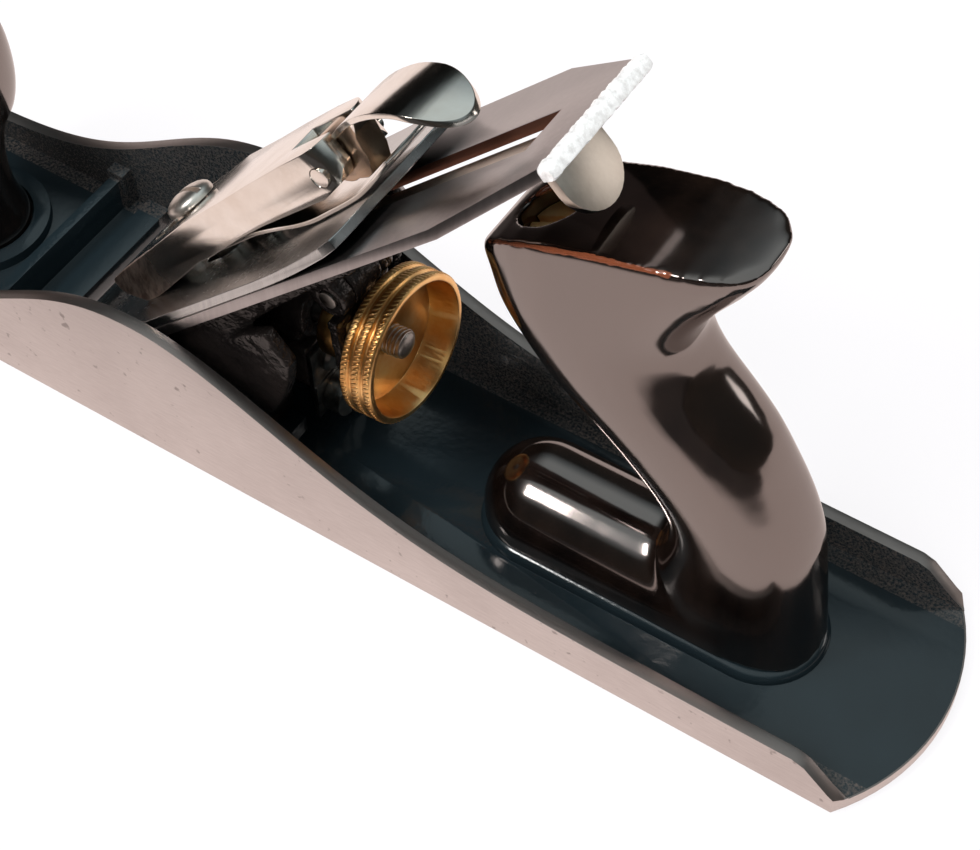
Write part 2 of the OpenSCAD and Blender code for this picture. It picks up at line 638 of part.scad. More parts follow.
module tote() {
    lobe_r = grip_half + 0.1;
    color("#1a1210") difference() {
        union() {
            grip_loft();
            // half-round toe lobe
            intersection() {
                union() {
                    translate([-104, 0, 9.2]) rotate([0, 90, 0]) cylinder(r = lobe_r, h = 104 - 57);
                    translate([-57, 0, 9.2]) sphere(r = lobe_r, $fn = 48);
                }
                translate([-105, -20, grip_seat]) cube([68, 40, 30]);
            }
            translate([0, 0, grip_seat]) linear_extrude(9.2 - grip_seat) {
                translate([-57, 0]) circle(lobe_r);
                translate([-104, -lobe_r]) square([47, 2 * lobe_r]);
            }
        }
        rod_axis(-110) cylinder(r = rod_d / 2 + pass_gap, h = 130);
        rod_axis(-24) cylinder(r = 5 + pass_gap, h = 40);
        rod_axis(-3.2) cylinder(r = cap_nut_d / 2 + pass_gap, h = 20);
    }
}

module cap_nut(barrel) {
    difference() {
        union() {
            translate([0, 0, -3.2]) cylinder(r = cap_nut_d / 2, h = 3.2);
            translate([0, 0, -barrel]) cylinder(r = 5, h = barrel - 3);
        }
        translate([0, 0, -barrel - 1]) cylinder(r = rod_d / 2 + pin_gap, h = barrel - 2);
        translate([-cap_nut_d, -0.8, -1.2]) cube([2 * cap_nut_d, 1.6, 3]);
    }
}

module tote_rod() {
    color("#77777a") rod_axis(rod_low_t + 0.4) cylinder(r = rod_d / 2, h = -rod_low_t - 0.4 - 5);
}

module tote_nut() {
    color("#c39a3d") rod_axis(0) cap_nut(23.5);
}

module knob() {
    r = knob_d / 2;
    line = smooth([[11.6, sole_t], [11.6, 6.5], [10.6, 9.5], [9.7, 14], [9.4, 20], [9.8, 26], [11, 32],
        [r - 3.3, 37], [r - 1.3, 41], [r - 0.3, 45.5], [r, 50.5], [r - 0.3, 56], [r - 1.3, 60], [r - 3.6, 63.5],
        [9.4, 65.9], [7, knob_top]], 3);
    color("#1a1210") translate([knob_x, 0, 0]) rotate_extrude($fn = 96) polygon(concat(
        [[rod_d / 2 + pass_gap, sole_t]], line,
        [[cap_nut_d / 2 + pass_gap, knob_top], [cap_nut_d / 2 + pass_gap, knob_top - 3.6],
         [5 + pass_gap, knob_top - 3.6], [5 + pass_gap, knob_top - 24], [rod_d / 2 + pass_gap, knob_top - 24]]));
}

module knob_rod() {
    color("#77777a") translate([knob_x, 0, 1.4]) cylinder(r = rod_d / 2, h = knob_top - 6.8);
}

module knob_nut() {
    color("#c39a3d") translate([knob_x, 0, knob_top - 0.4]) cap_nut(23.5);
}

body_casting();
frog();
frog_screws();
frog_washers();
frog_adjusting_screw();
frog_clip();
clip_screw();
yoke();
yoke_pin();
depth_stud();
depth_nut();
lateral_lever();
lateral_rivet();
lateral_roller();
iron();
cap_iron();
cap_iron_screw();
lever_cap();
cam_lever();
cam_pin();
cap_spring();
spring_rivet();
lever_cap_screw();
tote();
tote_rod();
tote_nut();
knob();
knob_rod();
knob_nut();
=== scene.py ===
import bpy
import bmesh
import json
from math import sin, cos, pi, sqrt, radians
from mathutils import Vector, Matrix, noise

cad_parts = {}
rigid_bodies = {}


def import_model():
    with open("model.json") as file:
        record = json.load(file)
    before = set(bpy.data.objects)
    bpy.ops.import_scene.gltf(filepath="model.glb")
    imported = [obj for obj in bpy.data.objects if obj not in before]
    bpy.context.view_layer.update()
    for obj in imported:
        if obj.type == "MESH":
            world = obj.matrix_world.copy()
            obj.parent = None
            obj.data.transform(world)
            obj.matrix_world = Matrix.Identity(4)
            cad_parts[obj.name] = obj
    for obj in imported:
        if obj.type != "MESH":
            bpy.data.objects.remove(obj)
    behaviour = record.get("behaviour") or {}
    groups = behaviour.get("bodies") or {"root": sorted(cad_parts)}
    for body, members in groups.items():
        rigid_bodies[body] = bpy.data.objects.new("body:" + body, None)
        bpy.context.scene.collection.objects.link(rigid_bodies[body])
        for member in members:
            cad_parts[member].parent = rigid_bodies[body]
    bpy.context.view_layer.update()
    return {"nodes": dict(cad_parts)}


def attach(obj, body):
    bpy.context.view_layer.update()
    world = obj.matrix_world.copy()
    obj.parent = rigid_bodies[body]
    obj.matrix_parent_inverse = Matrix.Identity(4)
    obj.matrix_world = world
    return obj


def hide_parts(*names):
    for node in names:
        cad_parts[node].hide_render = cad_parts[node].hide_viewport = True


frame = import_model()
mm = 0.001


# The camera stands behind the heel on the left side, looking down on the plane.
# Its long lens was fitted to the edges of the sole, the bed and the nut's rim.
lens = bpy.data.cameras.new("camera")
lens.sensor_width = 36.0
lens.lens = 80.94
lens.shift_x = -0.0014
lens.shift_y = 0.0003
lens.clip_start = 0.01
camera = bpy.data.objects.new("camera", lens)
camera.rotation_euler = (radians(37.265), radians(1.423), radians(-146.755))
camera.location = (-0.19608, 0.21561, 0.37034)
bpy.context.scene.collection.objects.link(camera)
bpy.context.scene.camera = camera
bpy.context.scene.view_settings.view_transform = "Standard"


# The lamps: a short strip that draws the highlights, a small panel behind the toe, and
# wide soft boxes that only fill, so that the gloss doesn't mirror them.
def lamp(name, direction, distance, size, power, tint, mirrored):
    """An area lamp aimed at the plane; its first size lies along the plane."""
    aim = Vector((-0.02, 0.0, 0.03))
    back = Vector(direction).normalized()
    side = (Vector((1, 0, 0)) - back * back.x).normalized()
    light = bpy.data.lights.new(name, "AREA")
    light.shape = "RECTANGLE"
    light.size = size[0]
    light.size_y = size[1]
    light.energy = power
    light.color = tint
    holder = bpy.data.objects.new(name, light)
    turn = Matrix((side, back.cross(side), back)).transposed().to_4x4()
    holder.matrix_world = Matrix.Translation(aim + back * distance) @ turn
    holder.visible_glossy = mirrored
    bpy.context.scene.collection.objects.link(holder)


lamp("strip", (0.328, 0.55, 0.77), 0.8, (0.078, 0.26), 2.6, (1.0, 0.98, 0.96), True)
lamp("back_panel", (-0.71, -0.63, 0.30), 0.9, (0.24, 0.20), 0.4, (1.0, 0.97, 0.94), True)
lamp("overhead_fill", (0.25, 0.35, 0.9), 1.0, (0.7, 0.7), 9.0, (1.0, 0.97, 0.95), False)
lamp("side_fill", (-0.6, 0.75, 0.35), 1.1, (0.6, 0.6), 6.0, (1.0, 0.95, 0.92), False)
lamp("far_fill", (0.2, -0.8, 0.55), 1.0, (0.6, 0.5), 4.0, (0.92, 0.97, 1.0), False)


# The table: a plain pale sheet that keeps the plane's soft shadow.
# The camera sees it close to white. The gloss sees it pinkish, and dark past its front edge.
class NodeBoard:
    """A node tree with short ways to add, join and calculate."""

    def __init__(self, tree):
        self.tree = tree

    def add(self, kind, **settings):
        """A node; each setting is a property of it or the name of one of its inputs."""
        node = self.tree.nodes.new(kind)
        for key, value in settings.items():
            if hasattr(node, key):
                setattr(node, key, value)
            else:
                node.inputs[key].default_value = value
        return node

    def join(self, source, target):
        """A link between two sockets."""
        self.tree.links.new(source, target)

    def feed(self, target, value):
        """Gives an input a plain value, or a link if the value is a socket."""
        if isinstance(value, bpy.types.NodeSocket):
            self.join(value, target)
        else:
            target.default_value = value

    def arith(self, operation, first, second=None):
        """One Math node; its inputs are numbers or sockets."""
        node = self.add("ShaderNodeMath", operation=operation)
        self.feed(node.inputs[0], first)
        if second is not None:
            self.feed(node.inputs[1], second)
        return node.outputs["Value"]

    def carry(self, value, low, high, at_low, at_high):
        """A value carried in a straight line between two ends, and held beyond them."""
        node = self.add("ShaderNodeMapRange")
        ends = (("From Min", low), ("From Max", high), ("To Min", at_low), ("To Max", at_high))
        for slot, number in ends:
            node.inputs[slot].default_value = number
        self.join(value, node.inputs["Value"])
        return node.outputs["Result"]

    def ramp(self, value, stops):
        """Colours laid along a value."""
        node = self.add("ShaderNodeValToRGB")
        elements = node.color_ramp.elements
        while len(elements) < len(stops):
            elements.new(0.5)
        for element, (spot, colour) in zip(elements, stops):
            element.position = spot
            element.color = (*colour, 1.0)
        self.join(value, node.inputs["Fac"])
        return node.outputs["Color"]

    def blend(self, factor, first, second):
        """A mix of two shaders."""
        node = self.add("ShaderNodeMixShader")
        for slot, source in zip(node.inputs, (factor, first, second)):
            self.join(source, slot)
        return node.outputs["Shader"]


class Finish(NodeBoard):
    """A material made round one shader, in the object's own metres."""

    def __init__(self, name):
        self.material = bpy.data.materials.new(name)
        self.material.use_nodes = True
        super().__init__(self.material.node_tree)
        self.tree.nodes.clear()
        self.out = self.add("ShaderNodeOutputMaterial")
        self.shader = self.add("ShaderNodeBsdfPrincipled")
        self.join(self.shader.outputs["BSDF"], self.out.inputs["Surface"])

    def put(self, slot, value):
        """Sets or joins one of the shader's own sockets."""
        self.feed(self.shader.inputs[slot], value)

    def place(self):
        """The X, Y and Z of a spot."""
        axes = self.add("ShaderNodeSeparateXYZ")
        self.join(self.add("ShaderNodeTexCoord").outputs["Object"], axes.inputs["Vector"])
        return axes.outputs

    def facing(self):
        """The X, Y and Z of the surface's normal."""
        axes = self.add("ShaderNodeSeparateXYZ")
        self.join(self.add("ShaderNodeNewGeometry").outputs["Normal"], axes.inputs["Vector"])
        return axes.outputs

    def speckle(self, scale, detail=3.0, roughness=0.5, stretch=(1.0, 1.0, 1.0), turn=(0.0, 0.0, 0.0)):
        """Noise by place, stretched and turned."""
        mapping = self.add("ShaderNodeMapping", Scale=stretch, Rotation=turn)
        cloud = self.add("ShaderNodeTexNoise", Scale=scale, Detail=detail, Roughness=roughness)
        self.join(self.add("ShaderNodeTexCoord").outputs["Object"], mapping.inputs["Vector"])
        self.join(mapping.outputs["Vector"], cloud.inputs["Vector"])
        return cloud.outputs["Fac"]

    def mix(self, kind, factor, first, second):
        """A Mix node between two numbers (FLOAT) or two colours (RGBA)."""
        node = self.add("ShaderNodeMix", data_type=kind)
        low = 6 if kind == "RGBA" else 2
        self.join(factor, node.inputs[0])
        self.feed(node.inputs[low], first)
        self.feed(node.inputs[low + 1], second)
        return node.outputs[2 if kind == "RGBA" else 0]

    def relief(self, height, depth, strength):
        """A bump of the given real depth."""
        bump = self.add("ShaderNodeBump", Strength=strength, Distance=depth)
        self.join(height, bump.inputs["Height"])
        self.put("Normal", bump.outputs["Normal"])


def placed(name, mesh):
    """A new object of a mesh, in the scene."""
    piece = bpy.data.objects.new(name, mesh)
    bpy.context.scene.collection.objects.link(piece)
    return piece


sheet_mesh = bpy.data.meshes.new("table")
sheet_mesh.from_pydata([(-3, -3, 0), (3, -3, 0), (3, 3, 0), (-3, 3, 0)], [], [(0, 1, 2, 3)])
table = placed("table", sheet_mesh)
paper = Finish("pale_paper")
paper.put("Base Color", (0.86, 0.85, 0.87, 1.0))
paper.put("Roughness", 0.9)
paper.put("Specular IOR Level", 0.1)
rays = paper.add("ShaderNodeLightPath").outputs
front_edge = 0.10
front_dark = 0.14
gloss_glow = paper.carry(paper.place()["Y"], front_edge, front_dark, 1.0, 0.02)
glow = paper.add("ShaderNodeEmission")
paper.join(paper.arith("MAXIMUM", rays["Is Camera Ray"], gloss_glow), glow.inputs["Strength"])
paper.join(paper.mix("RGBA", rays["Is Camera Ray"], (1.0, 0.86, 0.81, 1.0), (1.0, 0.985, 1.0, 1.0)),
           glow.inputs["Color"])
camera_share = paper.arith("MULTIPLY", rays["Is Camera Ray"], 0.86)
gloss_share = paper.arith("MULTIPLY", rays["Is Glossy Ray"], 0.97)
seen = paper.blend(paper.arith("MAXIMUM", camera_share, gloss_share),
                   paper.shader.outputs["BSDF"], glow.outputs["Emission"])
paper.join(seen, paper.out.inputs["Surface"])
sheet_mesh.materials.append(paper.material)


# The room: dark and brownish above the table's edge, blue-green overhead towards the heel.
# The camera itself sees a white room.
room = bpy.data.worlds.new("room")
room.use_nodes = True
bpy.context.scene.world = room
sky = NodeBoard(room.node_tree)
sky.tree.nodes.clear()
way = sky.add("ShaderNodeSeparateXYZ")
sky.join(sky.add("ShaderNodeTexCoord").outputs["Generated"], way.inputs["Vector"])
dim_light = sky.add("ShaderNodeBackground")
sky.join(sky.ramp(way.outputs["Z"], [(0.0, (0.04, 0.035, 0.03)), (0.52, (0.025, 0.03, 0.03)),
                                     (0.66, (0.26, 0.32, 0.34)), (0.78, (0.56, 0.66, 0.68))]),
         dim_light.inputs["Color"])
sky.join(sky.carry(way.outputs["X"], 0.36, 0.56, 1.0, 0.15), dim_light.inputs["Strength"])
white_light = sky.add("ShaderNodeBackground", Color=(1.0, 1.0, 1.0, 1.0))
sky_out = sky.add("ShaderNodeOutputWorld")
sky.join(sky.blend(sky.add("ShaderNodeLightPath").outputs["Is Camera Ray"],
                   dim_light.outputs["Background"], white_light.outputs["Background"]),
         sky_out.inputs["Surface"])


# The body: one iron casting. Its inside is japanned black; the cheeks, their top
# edges, the ends and the sole are ground bare. Edges are slightly rounded by hand.
def made_mesh(piece):
    """The piece with its modifiers turned into a plain mesh."""
    shape = piece.evaluated_get(bpy.context.evaluated_depsgraph_get())
    made = bpy.data.meshes.new_from_object(shape)
    piece.modifiers.clear()
    piece.data = made


def merged_copy(node):
    """The piece's own closed shape, with flat faces joined."""
    mesh = frame["nodes"][node].data.copy()
    mesh.materials.clear()
    solid = bmesh.new()
    solid.from_mesh(mesh)
    bmesh.ops.remove_doubles(solid, verts=solid.verts, dist=2e-6)
    bmesh.ops.dissolve_limit(solid, angle_limit=radians(0.6), verts=solid.verts, edges=solid.edges)
    bmesh.ops.recalc_face_normals(solid, faces=solid.faces)
    solid.to_mesh(mesh)
    solid.free()
    return placed(node + "_made", mesh)


def smooth_all(mesh):
    """Smooth shading on every face."""
    mesh.polygons.foreach_set("use_smooth", [True] * len(mesh.polygons))


def smooth_by_angle(mesh, sharp):
    """Smooth shading that keeps edges steeper than the given angle."""
    work = bmesh.new()
    work.from_mesh(mesh)
    for face in work.faces:
        face.smooth = True
    for edge in work.edges:
        if len(edge.link_faces) == 2:
            edge.smooth = edge.calc_face_angle(0.0) < radians(sharp)
    work.to_mesh(mesh)
    work.free()


def rounded_copy(node, radius, steps, sharp, fat_zone=None, fat_radius=0.0):
    """The piece's own shape with its edges broken, some of them more, and its curves smooth."""
    piece = merged_copy(node)
    if fat_zone:
        zone = piece.vertex_groups.new(name="fat")
        zone.add([point.index for point in piece.data.vertices if fat_zone(point.co)], 1.0, "REPLACE")
        roll = piece.modifiers.new("roll", "BEVEL")
        roll.limit_method = "VGROUP"
        roll.vertex_group = "fat"
        roll.width = fat_radius
        roll.segments = 5
        roll.use_clamp_overlap = True
        made_mesh(piece)
        piece.vertex_groups.clear()
    edge = piece.modifiers.new("edge", "BEVEL")
    edge.width = radius
    edge.segments = steps
    edge.limit_method = "ANGLE"
    edge.angle_limit = radians(sharp)
    edge.use_clamp_overlap = True
    made_mesh(piece)
    smooth_by_angle(piece.data, sharp)
    return piece


def finish_piece(piece, body, slot, material, *nodes):
    """Gives a piece its material, its body and the parts it stands for."""
    piece.data.materials.clear()
    piece.data.materials.append(material)
    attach(piece, body)
    if nodes:
        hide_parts(*nodes)


seat_height = 5.5 * mm
seat_radius = 13.2 * mm
seat_ends = (-57.2 * mm, -107.2 * mm)


def seat_edge(point):
    """True on the top outline of the raised seat under the grip."""
    nearest = min(max(point.x, seat_ends[1]), seat_ends[0])
    out = sqrt((point.x - nearest) ** 2 + point.y ** 2)
    return abs(point.z - seat_height) < 0.02 * mm and abs(out - seat_radius) < 0.05 * mm


casting = rounded_copy("body_casting", 0.45 * mm, 2, 28.0, seat_edge, 2.0 * mm)
cheek_face = 24.3 * mm
wall_start = 20.5 * mm
sole_top = 0.4 * mm
floor_top = 5.7 * mm
end_radius = 43.66 * mm
end_centre = 146 * mm - end_radius
coat = Finish("japanned_and_ground_iron")
spot = coat.place()
across = coat.arith("ABSOLUTE", spot["Y"])
along = coat.arith("ABSOLUTE", spot["X"])
on_cheek = coat.arith("GREATER_THAN", across, cheek_face)
on_sole = coat.arith("LESS_THAN", spot["Z"], sole_top)
past = coat.arith("SUBTRACT", along, end_centre)
reach = coat.arith("SQRT", coat.arith("ADD", coat.arith("MULTIPLY", past, past),
                                      coat.arith("MULTIPLY", across, across)))
on_end = coat.arith("MULTIPLY", coat.arith("GREATER_THAN", reach, end_radius - 0.4 * mm),
                    coat.arith("GREATER_THAN", past, 0.0))
bare = coat.arith("MAXIMUM", coat.arith("MAXIMUM", on_cheek, on_sole), on_end)
grain = coat.speckle(260.0, 6.0, 0.6, (1.0, 7.0, 7.0))
cloud = coat.speckle(22.0, 4.0, 0.6)
steel_mix = coat.arith("ADD", coat.arith("MULTIPLY", grain, 0.5), coat.arith("MULTIPLY", cloud, 0.5))
steel_tone = coat.ramp(steel_mix, [(0.3, (0.51, 0.455, 0.44)), (0.7, (0.71, 0.65, 0.63))])
stain = coat.ramp(coat.speckle(420.0, 2.0), [(0.68, (0.0, 0.0, 0.0)), (0.76, (0.6, 0.6, 0.6))])
steel_tone = coat.mix("RGBA", stain, steel_tone, (0.20, 0.17, 0.16, 1.0))
# Painted shade: the bare steel's upward faces, the cheeks' top edges, are given a darker grey than the
# sides.
rim_painted_shade = coat.arith("GREATER_THAN", coat.facing()["Z"], 0.45)
steel_tone = coat.mix("RGBA", rim_painted_shade, steel_tone, (0.27, 0.23, 0.215, 1.0))
black_tone = coat.ramp(cloud, [(0.3, (0.006, 0.009, 0.011)), (0.75, (0.010, 0.017, 0.021))])
grit = coat.ramp(coat.speckle(1700.0, 4.0, 0.7), [(0.42, (0.0, 0.0, 0.0)), (0.66, (1.0, 1.0, 1.0))])
wall_grit = coat.arith("MULTIPLY", coat.arith("GREATER_THAN", across, wall_start), grit)
black_tone = coat.mix("RGBA", wall_grit, black_tone, (0.065, 0.053, 0.047, 1.0))
coat.put("Base Color", coat.mix("RGBA", bare, black_tone, steel_tone))
coat.put("Metallic", bare)
steel_rough = coat.arith("ADD", coat.arith("MULTIPLY", grain, 0.25), 0.30)
black_rough = coat.arith("ADD", coat.arith("MULTIPLY", coat.speckle(1500.0, 3.0, 0.6), 0.10), 0.10)
coat.put("Roughness", coat.mix("FLOAT", bare, black_rough, steel_rough))
coat.put("IOR", 1.5)
lumps = coat.arith("MULTIPLY", coat.speckle(140.0, 2.0), 0.8)
pits = coat.arith("MULTIPLY", coat.speckle(700.0, 2.0), 0.45)
on_floor = coat.arith("LESS_THAN", spot["Z"], floor_top)
wall_share = coat.arith("SUBTRACT", 1.0, coat.arith("MULTIPLY", on_floor, 0.82))
paint_relief = coat.arith("MULTIPLY", wall_share, coat.arith("ADD", lumps, pits))
steel_relief = coat.arith("MULTIPLY", grain, 0.05)
coat.relief(coat.mix("FLOAT", bare, paint_relief, steel_relief), 0.5 * mm, 0.6)
finish_piece(casting, "base", "body_iron", coat.material, "body_casting")


# The frog and the yoke: small iron castings, japanned all over, lumpier than
# the body because nothing on them is ground but the face under the iron.
def cast_copy(node, grain, passes, soft_zone=None, soft_passes=0):
    """The piece as poured or carved in one: its inner corners are filleted and its edges soft."""
    piece = merged_copy(node)
    skin = piece.modifiers.new("skin", "REMESH")
    skin.mode = "VOXEL"
    skin.voxel_size = grain
    made_mesh(piece)
    if soft_zone:
        zone = piece.vertex_groups.new(name="corner")
        for point in piece.data.vertices:
            share = soft_zone(point.co)
            if share > 0:
                zone.add([point.index], share, "REPLACE")
        ease = piece.modifiers.new("ease", "SMOOTH")
        ease.vertex_group = "corner"
        ease.factor = 0.5
        ease.iterations = soft_passes
    polish = piece.modifiers.new("polish", "SMOOTH")
    polish.factor = 0.5
    polish.iterations = passes
    made_mesh(piece)
    piece.vertex_groups.clear()
    smooth_all(piece.data)
    return piece


japan = Finish("frog_japanning")
cloud = japan.speckle(60.0, 4.0, 0.6)
japan.put("Base Color", japan.ramp(cloud, [(0.3, (0.004, 0.0035, 0.0035)), (0.75, (0.014, 0.011, 0.010))]))
japan.put("Roughness", japan.arith("ADD", japan.arith("MULTIPLY", cloud, 0.16), 0.14))
japan.put("IOR", 1.4)
japan.put("Specular Tint", (1.0, 0.90, 0.86, 1.0))
japan.relief(japan.speckle(260.0, 3.0, 0.55), 1.6 * mm, 0.8)
for node, body in (("frog", "frog_unit"), ("yoke", "yoke_arm")):
    finish_piece(cast_copy(node, 0.45 * mm, 5), body, "frog_iron", japan.material, node)


# Plain steel fasteners: turned, dark with age and a little oil.
# Each screws into, or runs through, the piece it holds.
oiled = Finish("screw_steel")
oiled.put("Metallic", 1.0)
tarnish = oiled.speckle(320.0, 5.0, 0.6)
oiled.put("Base Color", oiled.ramp(tarnish, [(0.3, (0.20, 0.18, 0.165)), (0.7, (0.48, 0.45, 0.42))]))
oiled.put("Roughness", oiled.arith("ADD", oiled.arith("MULTIPLY", tarnish, 0.3), 0.22))
oiled.relief(oiled.speckle(1400.0), 0.06 * mm, 0.5)
screw_steel = oiled.material
for node, body in (("frog_screws", "base"), ("frog_washers", "base"),
                   ("frog_adjusting_screw", "adjusting_screw"), ("frog_clip", "frog_unit"),
                   ("clip_screw", "frog_unit"), ("yoke_pin", "frog_unit"),
                   ("cap_iron_screw", "iron_set"), ("tote_rod", "base"), ("knob_rod", "base")):
    finish_piece(rounded_copy(node, 0.2 * mm, 2, 30.0), body, "screw_steel", screw_steel, node)


# The iron: a strip of tool steel, ground lengthwise, with a slot for its screw.
# Its struck top end is drawn back a little here, inside the burr that covers it.
root2 = sqrt(2.0)
bed_edge = 55.7
iron_end = 174.4
iron_thick = 2.3
slot_end = 159.9
slot_half = 5.56


def blade_finish(name, dark, light, rough_low, rough_span, painted_slot_shade_half=0.0):
    """Ground steel: scratches along the bed, clouds of tarnish, painted shade beneath, painted brown shade
    in a slot.
    """
    steel = Finish(name)
    steel.put("Metallic", 1.0)
    scratch = steel.speckle(900.0, 4.0, 0.6, (1.0, 1.0, 0.05), (0.0, radians(45.0), 0.0))
    cloud = steel.speckle(60.0, 4.0, 0.6)
    mixed = steel.arith("ADD", steel.arith("MULTIPLY", scratch, 0.35), steel.arith("MULTIPLY", cloud, 0.65))
    tone = steel.ramp(mixed, [(0.3, dark), (0.7, light)])
    rough = steel.arith("ADD", steel.arith("MULTIPLY", mixed, rough_span), rough_low)
    # Painted shade: faces that turn downwards get a near-black colour.
    painted_shade_beneath = steel.arith("LESS_THAN", steel.facing()["Z"], -0.3)
    tone = steel.mix("RGBA", painted_shade_beneath, tone, (0.05, 0.045, 0.045, 1.0))
    rough = steel.mix("FLOAT", painted_shade_beneath, rough, 0.5)
    # Painted shade: the middle strip of the iron, as wide as the slot and up to its end, is coloured
    # reddish brown.
    if painted_slot_shade_half:
        spot = steel.place()
        up = steel.arith("SUBTRACT", spot["Z"], spot["X"])
        below_end = steel.arith("LESS_THAN", up, slot_end * root2 * mm - bed_edge * mm)
        between = steel.arith("LESS_THAN", steel.arith("ABSOLUTE", spot["Y"]), painted_slot_shade_half)
        inside = steel.arith("MULTIPLY", below_end, between)
        tone = steel.mix("RGBA", inside, tone, (0.30, 0.14, 0.10, 1.0))
        rough = steel.mix("FLOAT", inside, rough, 0.5)
    steel.put("Base Color", tone)
    steel.put("Roughness", rough)
    steel.relief(scratch, 0.02 * mm, 0.4)
    return steel.material


blade_steel = blade_finish("blade_steel", (0.27, 0.24, 0.235), (0.46, 0.42, 0.415), 0.22, 0.22,
                           slot_half * mm)
iron = rounded_copy("iron", 0.25 * mm, 2, 30.0)
uphill = Vector((-1.0, 0.0, 1.0)) / root2
drawn_back = 0.6
for point in iron.data.vertices:
    if uphill.dot(point.co) > (iron_end - bed_edge / root2 - 0.4) * mm:
        point.co -= uphill * drawn_back * mm
finish_piece(iron, "iron_set", "blade_steel", blade_steel, "iron")


# The burr: metal pushed out over both faces along the iron's struck end by years
# of light hammer taps, dented. Its near-white colour is partly bright metal and partly a painted highlight.
def on_bed(s, y, h):
    """A point by its distance up the bed, across it, and its height over the iron, in millimetres."""
    return Vector((bed_edge + (h - s) / root2, y, (s + h) / root2)) * mm


def skin_rings(work, rings):
    """Faces between each ring of corners and the next."""
    for one, two in zip(rings, rings[1:]):
        for j in range(len(one)):
            k = (j + 1) % len(one)
            work.faces.new((one[j], one[k], two[k], two[j]))


def closed_mesh(work, name):
    """The mesh of a finished closed form, with its faces outward."""
    bmesh.ops.recalc_face_normals(work, faces=work.faces)
    mesh = bpy.data.meshes.new(name)
    work.to_mesh(mesh)
    work.free()
    return mesh


burr_metal_highlit = Finish("hammered_end")
burr_metal_highlit.put("Metallic", 0.35)
dents = burr_metal_highlit.speckle(800.0, 4.0, 0.6)
# Painted highlight: the base colour runs up to near white, brighter than bare steel.
burr_metal_highlit.put("Base Color", burr_metal_highlit.ramp(dents, [(0.3, (0.72, 0.70, 0.69)), (0.6, (0.97, 0.96, 0.96))]))
burr_metal_highlit.put("Roughness", burr_metal_highlit.arith("ADD", burr_metal_highlit.arith("MULTIPLY", dents, 0.3), 0.35))
burr_metal_highlit.relief(dents, 0.25 * mm, 0.6)
burr_near = -14.5
burr_far = 15.6
burr_steps = 90
burr_length = 2.4
end_taper = 1.2
burr_work = bmesh.new()
burr_rings = []
for i in range(burr_steps + 1):
    y = burr_near + (burr_far - burr_near) * i / burr_steps
    lump = noise.noise(Vector((y * 0.9, 3.1, 0.0)))
    spread = 0.75 + 0.35 * lump + 0.12 * noise.noise(Vector((y * 2.7, 8.3, 0.0)))
    fade = min(1.0, min(y - burr_near, burr_far - y) / end_taper + 0.25)
    low = -iron_thick - 0.65 * spread * fade
    high = spread * fade * 0.8
    end = iron_end - high - 0.02
    face = iron_end + 0.10 + 0.10 * lump
    outline = ((end - burr_length, low + 0.3), (end - 2.2, high - 0.45),
               (end - 1.1, high), (end - 0.1, high - 0.02),
               (face, -0.35), (face, low + 0.4), (end - 0.3, low), (end - 0.9, low))
    burr_rings.append([burr_work.verts.new(on_bed(s, y, h)) for s, h in outline])
skin_rings(burr_work, burr_rings)
burr_work.faces.new(burr_rings[0])
burr_work.faces.new(burr_rings[-1][::-1])
burr_mesh = closed_mesh(burr_work, "iron_burr")
smooth_by_angle(burr_mesh, 60.0)
finish_piece(placed("iron_burr", burr_mesh), "iron_set", "blade_steel", burr_metal_highlit.material)


# The cap iron: thinner steel, finer ground than the iron, bowed so that its
# edge presses on the iron. Its screw holds it there.
cap_steel = blade_finish("cap_iron_steel", (0.34, 0.335, 0.33), (0.56, 0.55, 0.54), 0.16, 0.2)
finish_piece(rounded_copy("cap_iron", 0.2 * mm, 2, 20.0), "iron_set", "blade_steel", cap_steel, "cap_iron")


# The lateral lever: folded strip, once nickel plated, now cream and grey.
# It swings on its rivet, and its roller runs in the iron's slot.
lever_steel = blade_finish("lever_steel", (0.62, 0.53, 0.45), (0.86, 0.77, 0.68), 0.25, 0.25)
for node, body, radius in (("lateral_lever", "lateral", 0.4), ("lateral_roller", "lateral", 0.2),
                           ("lateral_rivet", "frog_unit", 0.2)):
    finish_piece(rounded_copy(node, radius * mm, 3, 30.0), body, "lever_steel", lever_steel, node)


# The lever cap: malleable iron, nickel plated; polished, but near the nose its
# sides are worn through to the brown sand-cast skin. The cam and spring match it.
cap_side = 10.6
worn_from = 58.0
worn_full = 47.0
cam_root = 120.5


